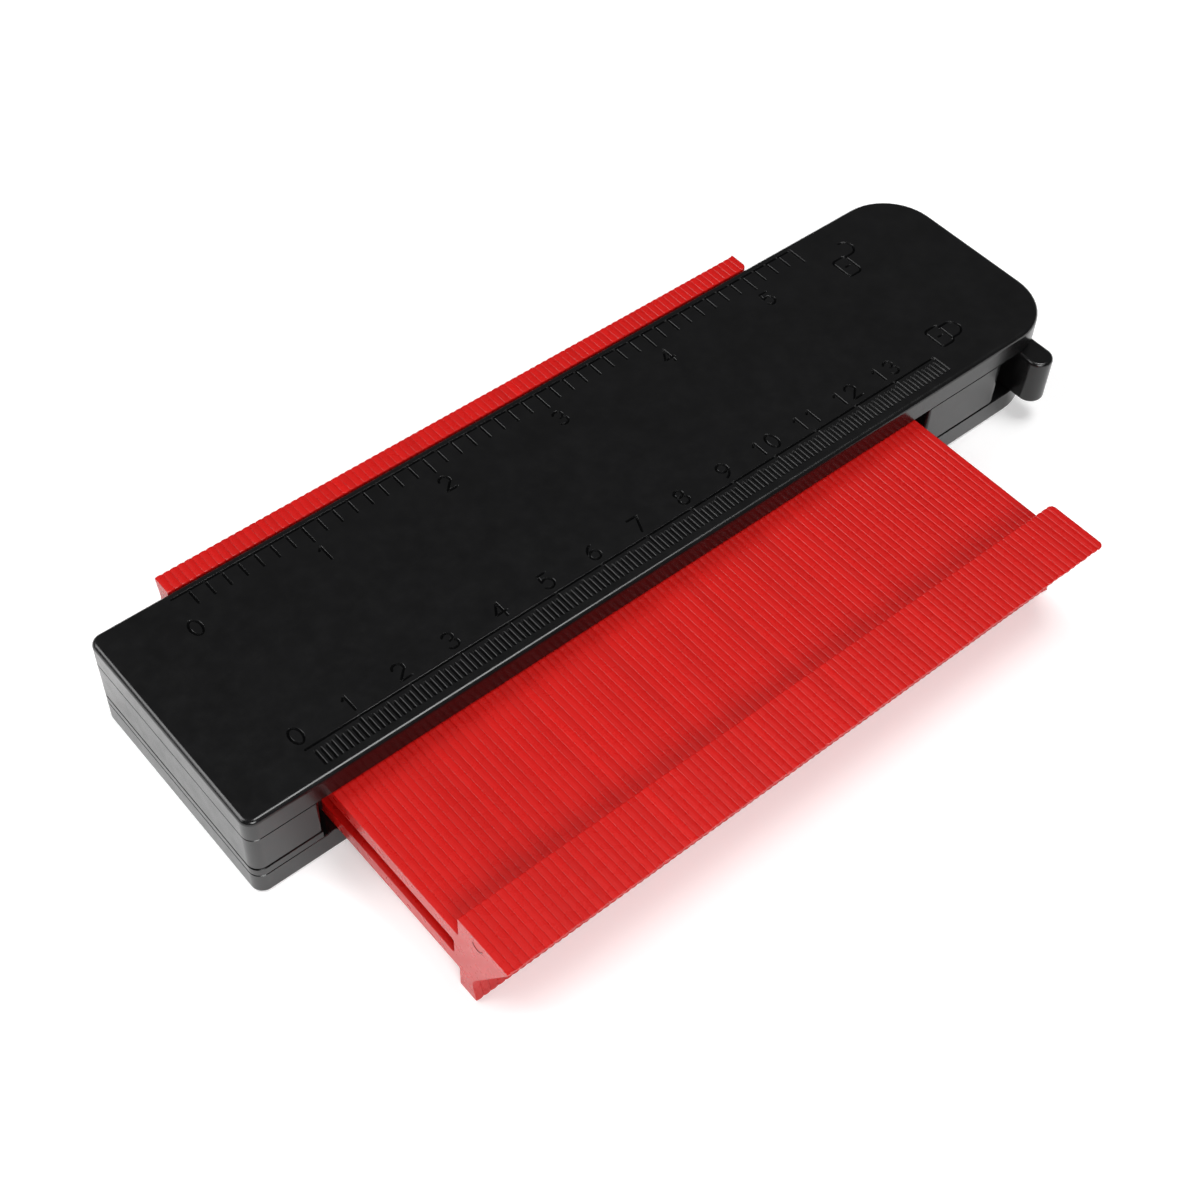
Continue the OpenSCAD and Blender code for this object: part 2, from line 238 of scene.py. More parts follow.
@dataclass
class Solid:
    """Mesh put together from walls that climb round outlines and flat caps that close them."""

    facing: Facing = Facing.UP
    points: list[Points] = field(default_factory=list)
    faces: list[list[int]] = field(default_factory=list)
    tones: list[Points] = field(default_factory=list)
    count: int = 0
    tone: float = 0.0

    def add(self, points: Points, faces: Points) -> None:
        """Adds points and faces, in the solid's present tone.

        Args:
            points: Points as (u, v, height).
            faces: Corners of each face, numbered from 0 among these points.
        """
        self.points.append(points[:, list(self.facing.value)])
        self.tones.append(np.full(len(points), self.tone))
        self.faces.extend((faces + self.count).tolist())
        self.count += len(points)

    def wall(self, outline: Points, profile: Profile) -> None:
        """Carries a profile round a closed outline: ring k is the outline moved in by inset k, at height k.

        Args:
            outline: Outer outline counter-clockwise, or a hole clockwise.
            profile: Pairs of inset and height, from the lowest ring to the highest.
        """
        size, levels = len(outline), len(profile)
        rings = [np.column_stack((inset(outline, d), np.full(size, h))) for d, h in profile]
        level, place = np.meshgrid(np.arange(levels - 1), np.arange(size), indexing="ij")
        here = level * size + place
        beside = level * size + (place + 1) % size
        quads = np.stack((here, beside, beside + size, here + size), axis=-1)
        self.add(np.concatenate(rings), quads.reshape(-1, 4))

    def cap(self, outlines: Sequence[Points], height: float, upward: bool) -> None:
        """Closes the area between an outline and its holes with flat triangles at one height.

        Args:
            outlines: The outer outline, then any holes.
            height: Height of the flat face.
            upward: Whether the face looks towards growing height.
        """
        flat, corners = triangulated(outlines)
        corners = corners[inside(flat[corners].mean(axis=1), outlines)]
        points = np.column_stack((flat, np.full(len(flat), height)))
        self.add(points, corners if upward else corners[:, ::-1])

    def engraved(self, outline: Points, grooves: "Sequence[Groove]", height: float) -> None:
        """Flat upward face with sunk lines, cut into triangles along the lines' rails.

        A point sinks by the largest sink that any groove has at its distance from that groove's middle.

        Args:
            outline: Edge of the face.
            grooves: The sunk lines.
            height: Height of the flat face.
        """
        flat, triangles = triangulated([outline] + [rail for groove in grooves for rail in groove.rails()])
        sink = np.max([groove.sink(flat) for groove in grooves], axis=0)
        self.add(np.column_stack((flat, height - sink)), triangles)

    def block(self, outlines: Sequence[Points], profile: Profile) -> None:
        """Walls round every outline along one profile, with a cap below and a cap above.

        Args:
            outlines: The outer outline, then any holes.
            profile: Pairs of inset and height, from the lowest ring to the highest.
        """
        for outline in outlines:
            self.wall(outline, profile)
        for (depth, height), upward in ((profile[0], False), (profile[-1], True)):
            self.cap([inset(o, depth) for o in outlines], height, upward)

    def build(self, name: str) -> bpy.types.Object:
        """Makes the object: points welded, smooth faces with creases, flat faces kept flat.

        Args:
            name: Name of the piece.

        Returns:
            The object, linked to the scene, at the origin.
        """
        mesh = bpy.data.meshes.new(name)
        mesh.from_pydata(np.concatenate(self.points).tolist(), [], self.faces)
        tone = mesh.attributes.new("tone", "FLOAT", "POINT")
        tone.data.foreach_set("value", np.concatenate(self.tones).astype(np.float32))
        shape = bmesh.new()
        shape.from_mesh(mesh)
        bmesh.ops.remove_doubles(shape, verts=shape.verts, dist=WELD)
        shape.to_mesh(mesh)
        shape.free()
        mesh.shade_smooth()
        mesh.set_sharp_from_angle(angle=math.radians(CREASE_DEG))
        piece = bpy.data.objects.new(name, mesh)
        bpy.context.scene.collection.objects.link(piece)
        flat_faces = piece.modifiers.new("flat_faces", "WEIGHTED_NORMAL")
        flat_faces.keep_sharp = True
        flat_faces.weight = FLAT_WEIGHT
        return piece


@dataclass
class Groove:
    """One line sunk into a flat face: softened edges and steep sides that meet at the middle."""

    line: Points
    closed: bool
    width: float
    depth: float

    SHARES: ClassVar[tuple[float, ...]] = (0.0, 0.85, 1.0)
    SINKS: ClassVar[tuple[float, ...]] = (1.0, 0.06, 0.0)
    CAP_DEG: ClassVar[tuple[float, ...]] = (36.0, 72.0, 108.0, 144.0)
    MITRE: ClassVar[float] = 0.6

    def rails(self) -> list[Points]:
        """The middle line, and closed lines that follow it on both sides, for each share of the half width.

        Point i moves by its reach along the mean normal of its two edges, over the cosine of half their bend.
        An open line gets half circles at its ends.

        Returns:
            The closed lines.
        """
        line, shut = self.line, self.closed
        ahead = np.roll(line, -1, axis=0) - line
        behind = line - np.roll(line, 1, axis=0)
        if not shut:
            ahead[-1], behind[0] = behind[-1], ahead[0]
        ahead = ahead / np.linalg.norm(ahead, axis=1)[:, None]
        behind = behind / np.linalg.norm(behind, axis=1)[:, None]
        bend = np.maximum(1.0 + (ahead * behind).sum(axis=1), self.MITRE)[:, None]
        side = np.column_stack((-(ahead + behind)[:, 1], (ahead + behind)[:, 0])) / bend
        turn = np.radians(self.CAP_DEG)[:, None]
        rails = [line if shut else np.concatenate((line, line[-2:0:-1]))]
        for share in self.SHARES[1:]:
            reach = share * self.width / 2
            left, right = line + side * reach, (line - side * reach)[::-1]
            last = line[-1] + reach * (np.cos(turn) * side[-1] + np.sin(turn) * ahead[-1])
            first = line[0] - reach * (np.cos(turn) * side[0] + np.sin(turn) * ahead[0])
            rails += [left, right] if shut else [np.concatenate((left, last, right, first))]
        return rails

    def sink(self, points: Points) -> Points:
        """How far each point sinks: the section's value at its distance from the middle line.

        Args:
            points: Points of the face, of shape (n, 2).

        Returns:
            Sinks of length n, zero outside the groove.
        """
        sinks = np.zeros(len(points))
        low, high = self.line.min(axis=0) - self.width, self.line.max(axis=0) + self.width
        near = np.flatnonzero(((points > low) & (points < high)).all(axis=1))
        start = self.line if self.closed else self.line[:-1]
        along = (np.roll(self.line, -1, axis=0) if self.closed else self.line[1:]) - start
        offset = points[near][:, None] - start
        t = np.clip((offset * along).sum(axis=-1) / (along ** 2).sum(axis=-1), 0.0, 1.0)
        distance = np.linalg.norm(offset - t[..., None] * along, axis=-1).min(axis=1)
        sinks[near] = self.depth * np.interp(distance / (self.width / 2), self.SHARES, self.SINKS)
        return sinks


# Finishes

class NodeBench:
    """Short way to put shader nodes on a material."""

    NOISE_LOW: ClassVar[float] = 0.3
    NOISE_HIGH: ClassVar[float] = 0.7

    def __init__(self, name: str) -> None:
        """Starts a material with an empty Principled shader.

        Args:
            name: Name of the material.
        """
        self.material = bpy.data.materials.new(name)
        self.material.use_nodes = True
        self.tree = self.material.node_tree
        self.shader = self.tree.nodes["Principled BSDF"]

    def add(self, kind: str, inputs: dict[str, object] | None = None, **settings: object) -> bpy.types.Node:
        """Adds a node.

        Args:
            kind: Blender's name of the node type.
            inputs: Socket name to a value, or to the socket that feeds it.
            settings: Properties of the node itself.

        Returns:
            The node.
        """
        node = self.tree.nodes.new(kind)
        for key, value in settings.items():
            setattr(node, key, value)
        for key, value in (inputs or {}).items():
            self.feed(node, key, value)
        return node

    def feed(self, node: bpy.types.Node, key: str, value: object) -> None:
        """Sets a socket to a value, or links it to the socket given.

        Args:
            node: Node that has the socket.
            key: Name of the socket.
            value: The value, or the socket that feeds it.
        """
        if isinstance(value, bpy.types.NodeSocket):
            self.tree.links.new(value, node.inputs[key])
        else:
            node.inputs[key].default_value = value

    def noise(self, size: float, stretch: Sequence[float] = EVEN,
              detail: float = 3.0) -> bpy.types.NodeSocket:
        """Noise on Object coordinates.

        Args:
            size: Width of its blobs, about.
            stretch: How many times longer the blobs are along each axis.
            detail: Number of finer layers.

        Returns:
            The noise value.
        """
        place = self.add("ShaderNodeTexCoord").outputs["Object"]
        scale = [1.0 / s for s in stretch]
        turned = self.add("ShaderNodeMapping", {"Vector": place, "Scale": scale}).outputs["Vector"]
        inputs = {"Vector": turned, "Scale": 1.0 / size, "Detail": detail}
        return self.add("ShaderNodeTexNoise", inputs).outputs["Fac"]

    def span(self, value: bpy.types.NodeSocket, low: float, high: float) -> bpy.types.NodeSocket:
        """Maps the middle range of a noise value to the range from low to high.

        Args:
            value: The noise value.
            low: Result at the range's lower end.
            high: Result at its upper end.

        Returns:
            The mapped value.
        """
        inputs = {"Value": value, "From Min": self.NOISE_LOW, "From Max": self.NOISE_HIGH,
                  "To Min": low, "To Max": high}
        return self.add("ShaderNodeMapRange", inputs).outputs["Result"]

    def attribute(self, name: str) -> bpy.types.NodeSocket:
        """Value that the piece itself carries at its points."""
        return self.add("ShaderNodeAttribute", attribute_name=name).outputs["Fac"]

    def maths(self, operation: str, first: object, second: object) -> bpy.types.NodeSocket:
        """One step of arithmetic on two values or sockets.

        Args:
            operation: Blender's name of the operation.
            first: Value or socket on its left.
            second: Value or socket on its right.

        Returns:
            The result.
        """
        node = self.add("ShaderNodeMath", operation=operation)
        for index, value in enumerate((first, second)):
            if isinstance(value, bpy.types.NodeSocket):
                self.tree.links.new(value, node.inputs[index])
            else:
                node.inputs[index].default_value = value
        return node.outputs["Value"]

    def shade(self, colour: Sequence[float], value: bpy.types.NodeSocket) -> bpy.types.NodeSocket:
        """Colour with its lightness multiplied by a value."""
        inputs = {"Color": (*colour, 1.0), "Value": value}
        return self.add("ShaderNodeHueSaturation", inputs).outputs["Color"]

    def bump(self, layers: Sequence[tuple[bpy.types.NodeSocket, float]]) -> None:
        """Raises the surface by each height field times its depth, one on top of the other.

        Args:
            layers: Height fields with their depths.
        """
        normal = None
        for height, depth in layers:
            inputs = {"Height": height, "Distance": depth, "Strength": 1.0}
            if normal is not None:
                inputs["Normal"] = normal
            normal = self.add("ShaderNodeBump", inputs).outputs["Normal"]
        self.feed(self.shader, "Normal", normal)


@dataclass(frozen=True)
class MouldedPlastic:
    """Injection-moulded plastic: even colour with faint clouds, fine grain and soft waves in the surface."""

    slot: str
    colour: tuple[float, float, float]
    roughness: tuple[float, float]
    specular: float
    cloud: tuple[float, float]
    cloud_size: float
    grain_size: float
    grain_depth: float
    wave_size: float
    wave_depth: float
    tone_share: float
    stretch: tuple[float, float, float] = EVEN
    gloss_share: float = 0.4
    grain_detail: float = 2.0
    wave_detail: float = 1.0

    def material(self) -> bpy.types.Material:
        """Makes the material on Object coordinates, lightened by the tone that each piece carries.

        Returns:
            The material.
        """
        bench = NodeBench(self.slot)
        cloud = bench.span(bench.noise(self.cloud_size, self.stretch), *self.cloud)
        tone = bench.maths("MULTIPLY", bench.attribute("tone"), self.tone_share)
        bench.feed(bench.shader, "Base Color", bench.shade(self.colour, bench.maths("ADD", cloud, tone)))
        speck = bench.noise(self.grain_size, detail=self.grain_detail)
        gloss = bench.noise(self.cloud_size * self.gloss_share)
        bench.feed(bench.shader, "Roughness", bench.span(gloss, *self.roughness))
        wave = bench.noise(self.wave_size, self.stretch, self.wave_detail)
        bench.bump(((wave, self.wave_depth), (speck, self.grain_depth)))
        bench.shader.inputs["Specular IOR Level"].default_value = self.specular
        return bench.material


@dataclass(frozen=True)
class DrawnSteel:
    """Bright drawn steel with fine lines along one axis."""

    slot: str
    colour: tuple[float, float, float]
    roughness: tuple[float, float]
    line_size: float
    line_depth: float
    stretch: tuple[float, float, float]
    line_shade: tuple[float, float]

    def material(self) -> bpy.types.Material:
        """Makes the metal, with the lines in its colour, its roughness and its surface.

        Returns:
            The material.
        """
        bench = NodeBench(self.slot)
        lines = bench.noise(self.line_size, self.stretch)
        bench.feed(bench.shader, "Base Color", bench.shade(self.colour, bench.span(lines, *self.line_shade)))
        bench.feed(bench.shader, "Roughness", bench.span(lines, *self.roughness))
        bench.bump(((lines, self.line_depth),))
        bench.shader.inputs["Metallic"].default_value = 1.0
        return bench.material


BLACK = MouldedPlastic(
    slot="black_abs", colour=(0.0036, 0.0036, 0.0038), roughness=(0.19, 0.26), specular=0.5,
    cloud=(0.82, 1.2), cloud_size=6 * MM, grain_size=0.22 * MM, grain_depth=0.005 * MM,
    wave_size=9 * MM, wave_depth=0.013 * MM, tone_share=1.0)
RED = MouldedPlastic(
    slot="red_abs", colour=(0.50, 0.0065, 0.005), roughness=(0.26, 0.3), specular=0.42,
    cloud=(0.97, 1.03), cloud_size=5 * MM, grain_size=0.3 * MM, grain_depth=0.0007 * MM,
    wave_size=6 * MM, wave_depth=0.004 * MM, tone_share=1.0, stretch=(1.0, 6.0, 1.0))
STEEL = DrawnSteel(
    slot="steel", colour=(0.62, 0.63, 0.65), roughness=(0.24, 0.36), line_size=0.25 * MM,
    line_depth=0.002 * MM, stretch=(20.0, 1.0, 1.0), line_shade=(0.9, 1.08))


class Palette:
    """Materials made once, by record slot."""

    def __init__(self, *finishes: MouldedPlastic | DrawnSteel) -> None:
        """Makes the material of every finish."""
        self.materials = {finish.slot: finish.material() for finish in finishes}

    def dress(self, piece: bpy.types.Object, slot: str, body: str, *nodes: str) -> None:
        """Gives a new piece its material, its body and the solids that it stands for.

        Args:
            piece: The new object.
            slot: Record slot of its finish.
            body: Body that it moves with.
            nodes: Solids that it replaces.
        """
        piece.data.materials.append(self.materials[slot])
        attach(piece, body)
        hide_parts(*nodes)
        LOG.info("%s on %s: %d faces", piece.name, body, len(piece.data.polygons))

    def paint(self, node: str, slot: str) -> None:
        """Gives a solid that stays in view its material.

        Args:
            node: Name of the solid.
            slot: Record slot of its finish.
        """
        solid = frame["nodes"][node]
        solid.data.materials.clear()
        solid.data.materials.append(self.materials[slot])
        LOG.info("%s keeps its shape, in %s", node, slot)


# Sub-assemblies

@dataclass
class Body:
    """The two covers and the two end blocks, all fixed to each other."""

    plain_corner_r: float = 2.2 * MM
    lever_corner_r: float = 11.0 * MM
    top_edge_r: float = 0.9 * MM
    foot_r: float = 0.6 * MM
    edge_break: float = 0.15 * MM
    seam_h: float = 0.35 * MM
    seam_d: float = 0.5 * MM
    block_corner_r: float = 3.0 * MM
    inner_corner_r: float = 0.7 * MM
    pad_l: float = 2.45 * MM
    pad_setback: float = 3.5 * MM
    lap: float = 0.25 * MM
    hairline: float = 0.02 * MM
    bore_play: float = 0.06 * MM

    def __post_init__(self) -> None:
        """Takes the levels and ends of the body from the solids."""
        self.low, self.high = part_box("top_cover")
        self.window_hi = self.low.z
        self.top = self.high.z
        plain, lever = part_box("plain_end_block"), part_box("lever_end_block")
        self.seat_h = plain[0].z
        self.window_lo = lever[0].z
        self.plain_end = plain[1].x - self.pad_l
        self.pad_end = plain[1].x
        self.lever_block = lever

    def plan(self) -> Points:
        """Outline of the body seen from above."""
        return rounded_box(self.low, self.high, self.plain_corner_r, self.lever_corner_r)

    def top_cover(self, marks: "ScaleMarks") -> bpy.types.Object:
        """Top cover: rim, quarter-round upper edge and flat top with the sunk marks.

        Args:
            marks: Scales and signs of the top.

        Returns:
            The cover.
        """
        lower = [(self.edge_break, self.window_hi), (0.0, self.window_hi + self.edge_break)]
        solid, plan = Solid(), self.plan()
        profile = lower + round_over(self.top_edge_r, self.top)
        solid.wall(plan, profile)
        solid.cap([inset(plan, profile[0][0])], profile[0][1], False)
        solid.engraved(inset(plan, profile[-1][0]), marks.grooves(), self.top)
        return solid.build("top_cover_shell")

    def bottom_cover(self, screws: "CaseScrews") -> bpy.types.Object:
        """Bottom cover: rounded foot, raised seat at the plain end and sunk holes for the screw heads.

        Args:
            screws: The screws whose heads sit in the holes.

        Returns:
            The cover.
        """
        foot = round_under(self.foot_r, 0.0)
        rim = [(0.0, self.window_lo - self.edge_break), (self.edge_break, self.window_lo)]
        plan = self.plan()
        holes = [ring(c, screws.head_r + self.bore_play, steps=32)[::-1] for c in screws.centres()]
        solid = Solid()
        solid.wall(plan, foot + rim)
        solid.cap([inset(plan, self.edge_break)], self.window_lo, True)
        solid.cap([inset(plan, foot[0][0]), *holes], 0.0, False)
        for hole in holes:
            solid.wall(hole, [(0.0, 0.0), (0.0, screws.seat_h)])
            solid.cap([hole[::-1]], screws.seat_h, False)
        seat = rounded_box(self.low, (self.plain_end, self.high.y), self.plain_corner_r, self.edge_break)
        notch = self.edge_break
        solid.block([seat], [(notch, self.window_lo - self.lap), (notch, self.window_lo),
                             (self.hairline, self.window_lo + notch), (self.hairline, self.seat_h - notch),
                             (notch, self.seat_h)])
        return solid.build("bottom_cover_shell")

    def block_profile(self, foot: float) -> list[tuple[float, float]]:
        """Side of an end block: shadow line at its foot, broken edges above it.

        Args:
            foot: Height of the block's lower face.

        Returns:
            Pairs of inset and height, upwards.
        """
        seam = foot + self.seam_h
        return [(self.seam_d, foot), (self.seam_d, seam), (self.edge_break, seam),
                (0.0, seam + self.edge_break), (0.0, self.window_hi - self.edge_break),
                (self.edge_break, self.window_hi)]

    def plain_block(self) -> bpy.types.Object:
        """End block at the plain end, with the set-back face that the first tine bears on.

        Returns:
            The block.
        """
        solid = Solid()
        plan = rounded_box(self.low, (self.plain_end, self.high.y), self.plain_corner_r, self.inner_corner_r)
        solid.block([plan], self.block_profile(self.seat_h))
        low = (self.plain_end - 2 * self.seam_d, self.low.y + self.pad_setback)
        pad = rounded_box(low, (self.pad_end, self.high.y - self.pad_setback), self.lap, self.lap)
        solid.block([pad], [(0.0, self.seat_h), (0.0, self.window_hi)])
        return solid.build("plain_end_block_shell")

    def lever_side_block(self) -> bpy.types.Object:
        """End block at the lever end, rounded towards the lever.

        Returns:
            The block.
        """
        solid = Solid()
        plan = rounded_box(*self.lever_block, self.inner_corner_r, self.block_corner_r)
        solid.block([plan], self.block_profile(self.window_lo))
        return solid.build("lever_end_block_shell")

    def make(self, palette: Palette, screws: "CaseScrews", marks: "ScaleMarks") -> None:
        """Builds and dresses the four mouldings.

        Args:
            palette: Materials of the part.
            screws: Screws whose heads sit in the underside.
            marks: Scales and signs of the top.
        """
        palette.dress(self.top_cover(marks), BLACK.slot, "frame", "top_cover")
        palette.dress(self.bottom_cover(screws), BLACK.slot, "frame", "bottom_cover")
        palette.dress(self.plain_block(), BLACK.slot, "frame", "plain_end_block")
        palette.dress(self.lever_side_block(), BLACK.slot, "frame", "lever_end_block")


@dataclass
class TineRow:
    """Red tines, two to a sliding body: slotted shanks with a head at both ends, half a turn apart."""

    pitch: float = 1.41 * MM
    seam: float = 0.012 * MM
    shank_h: float = 10.0 * MM
    slot_h: float = 3.7 * MM
    slot_end_l: float = 1.2 * MM
    slot_r: float = 0.4 * MM
    nose_l: float = 12.05 * MM
    nose_tip_t: float = 0.4 * MM
    toe_l: float = 4.3 * MM
    undercut_l: float = 3.1 * MM
    toe_h: float = 4.7 * MM
    corner_reach_mm: tuple[float, ...] = (0.3, 0.35, 0.5, 1.6, 0.15, 0.15, 0.35, 0.3)
    edge: float = 0.07 * MM
    slope_w: float = 0.55 * MM
    slope_h: float = 0.075 * MM
    slack: float = 0.12 * MM
    end_r: float = 1.1 * MM
    bend_deg: tuple[float, ...] = (20.0, 40.0)
    mark_r: float = 1.3 * MM
    mark_w: float = 0.36 * MM
    mark_from_shoulder: float = 4.85 * MM
    mark_drop: float = 1.6 * MM
    mark_deg: tuple[float, float] = (-175.0, -5.0)
    mark_slope: float = 0.14 * MM
    mark_rise: float = 0.08 * MM
    mark_root: float = 0.05 * MM
    mark_tone: float = -0.7
    tone_spread: float = 0.035
    seed: int = 7

    def outline(self, half_l: float, head_h: float, short: float) -> Points:
        """Outline of one tine about its centre, with softened corners.

        The front half goes shoulder, toe, undercut, nose, shoulder; the back half is minus the front half.

        Args:
            half_l: Half of the tine's length.
            head_h: Height of its heads.
            short: How much the front nose is shorter than the others.

        Returns:
            The closed outline in (y, z), counter-clockwise.
        """
        shoulder, half_h = half_l - self.nose_l, head_h / 2
        half = -np.array([
            (shoulder, self.shank_h / 2), (shoulder, half_h), (shoulder + self.toe_l, half_h),
            (shoulder + self.undercut_l, half_h - self.toe_h), (half_l, self.nose_tip_t - half_h),
            (half_l, -half_h), (shoulder, -half_h), (shoulder, -self.shank_h / 2)])
        reach = np.array(self.corner_reach_mm) * MM
        whole = np.concatenate((half, -half))
        whole[4:6, 0] += short
        return soften(whole, np.concatenate((reach, reach)))[::-1]

    def slot(self, half_l: float) -> Points:
        """Long slot of the shank, clockwise, with small round corners."""
        corner = np.array([half_l - self.nose_l - self.slot_end_l, self.slot_h / 2])
        return rounded_box(-corner, corner, self.slot_r, self.slot_r, steps=3)[::-1]

    def levels(self, near: float, far: float, blunt: bool) -> list[tuple[float, float]]:
        """Edge of a plate as (inset, place along the row) pairs: a low slope beside a chamfer on both sides.

        Args:
            near: Place of the near face.
            far: Place of the far face.
            blunt: Whether the far end is rounded in plan, which takes more places.

        Returns:
            The pairs, from the near face to the far one.
        """
        slope_w = far - near - self.end_r if blunt else self.slope_w
        edge = ((self.edge + self.slope_h, 0.0), (self.slope_h, self.edge), (0.0, slope_w))
        bend = [far - self.end_r * (1 - math.sin(math.radians(a))) for a in self.bend_deg if blunt]
        start = [(depth, near + way) for depth, way in edge]
        end = [(depth, far - way) for depth, way in edge[::-1]]
        return [*start, *((0.0, place) for place in bend), *end]

    def blunt(self, points: Points, far: float, centre_y: float, half_l: float) -> Points:
        """Rounds the outer corners of both heads in plan, by drawing them in near the far face.

        A corner moves towards its head's middle by r - sqrt(r^2 - d^2), with d the way into the last r.

        Args:
            points: Points of the plate, in the part's frame.
            far: Place of the far face along the row.
            centre_y: Middle of the tine.
            half_l: Half of the tine's length.

        Returns:
            The moved points.
        """
        depth = np.clip(points[:, 0] - far + self.end_r, 0.0, self.end_r)
        share = (self.end_r - np.sqrt(self.end_r ** 2 - depth ** 2)) / (self.nose_l / 2)
        y = points[:, 1] - centre_y
        to_middle = np.sign(y) * (half_l - self.nose_l / 2) - y
        in_head = np.abs(y) > half_l - self.nose_l - self.edge
        moved = points.copy()
        moved[:, 1] += np.where(in_head, share * to_middle, 0.0)
        return moved

    def pin_mark(self, solid: Solid, face: float, centre: Points) -> None:
        """Faint half ring that a mould's pin leaves on the outer side of the first tine's head.

        Args:
            solid: Mesh that takes the mark.
            face: Place of the outer side along the row.
            centre: Middle of the ring in (y, z).
        """
        start, end = self.mark_deg
        outer = arc(centre, self.mark_r, start, end, steps=16)
        inner = arc(centre, self.mark_r - self.mark_w, end, start, steps=16)
        solid.tone = self.mark_tone
        profile = [(self.mark_slope, face - self.mark_rise), (0.0, face + self.mark_root)]
        solid.block([np.concatenate((outer, inner))], profile)

    def pair(self, node: str, rng: np.random.Generator, first: bool, last: bool) -> bpy.types.Object:
        """Two neighbouring tines at the place of their solids.

        Args:
            node: Name of the pair's node.
            rng: Source of the small differences between tines.
            first: Whether the row begins with this pair.
            last: Whether the row ends with it.

        Returns:
            The object with both plates.
        """
        low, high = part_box(node)
        half_l, head_h = (high.y - low.y) / 2, high.z - low.z
        middle = np.array([(high.y + low.y) / 2, (high.z + low.z) / 2])
        solid = Solid(Facing.ALONG_ROW)
        thickness = self.pitch - self.seam
        start = (low.x + high.x - self.pitch - thickness) / 2
        for near in (start, start + self.pitch):
            solid.tone = rng.normal(0.0, self.tone_spread)
            outline = self.outline(half_l, head_h, rng.uniform(0.0, self.slack))
            far, made = near + thickness, len(solid.points)
            profile = self.levels(near, far, last and near > start)
            solid.block([outline + middle, self.slot(half_l) + middle], profile)
        if last:
            solid.points[made:] = [self.blunt(p, far, middle[0], half_l) for p in solid.points[made:]]
        if first:
            centre = (low.y + self.nose_l - self.mark_from_shoulder, high.z - self.mark_drop)
            self.pin_mark(solid, start, np.array(centre))
        return solid.build(node + "_plates")

    def make(self, palette: Palette) -> None:
        """Builds every pair on its own sliding body.

        Args:
            palette: Materials of the part.
        """
        rng = np.random.default_rng(self.seed)
        nodes = sorted(n for n in frame["nodes"] if n.startswith("tine_pair_"))
        for node in nodes:
            piece = self.pair(node, rng, node == nodes[0], node == nodes[-1])
            palette.dress(piece, RED.slot, node, node)


@dataclass
class LockLever:
    """Cam lever in the bay at the lever end."""

    arm_w: float = 5.5 * MM
    cam_r: float = 5.2 * MM
    cam_drop: float = 1.3 * MM
    edge_r: float = 0.7 * MM

    def outline(self, reach: float) -> Points:
        """Plan about the pivot: round-ended arm, then a cam whose radius grows evenly over half a turn.

        Args:
            reach: Distance from the pivot to the arm's tip.

        Returns:
            The closed outline, counter-clockwise.
        """
        tip_r, neck = self.arm_w / 2, -self.cam_r / 2
        tip = arc((0.0, tip_r - reach), tip_r, 180.0, 360.0, steps=25)
        angle = np.linspace(0.0, math.pi, num=31)
        radius = self.cam_r - self.cam_drop * (1 - angle / math.pi)
        cam = np.column_stack((np.cos(angle), np.sin(angle))) * radius[:, None]
        right = np.array([(tip_r, neck), (radius[0], neck)])
        left = np.array([(-self.cam_r, neck), (-tip_r, neck)])
        return np.concatenate((tip, right, cam, left))

    def make(self, palette: Palette) -> None:
        """Builds the lever on its hinge.

        Args:
            palette: Materials of the part.
        """
        low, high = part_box("lock_lever")
        hinge = next(j for j in frame["joints"] if j["name"] == "lever_turn")
        pivot = np.array(hinge["pos_m"][:2])
        solid = Solid()
        profile = round_under(self.edge_r, low.z) + round_over(self.edge_r, high.z)
        solid.block([self.outline(pivot[1] - low.y) + pivot], profile)
        palette.dress(solid.build("lock_lever_arm"), BLACK.slot, "lever", "lock_lever")


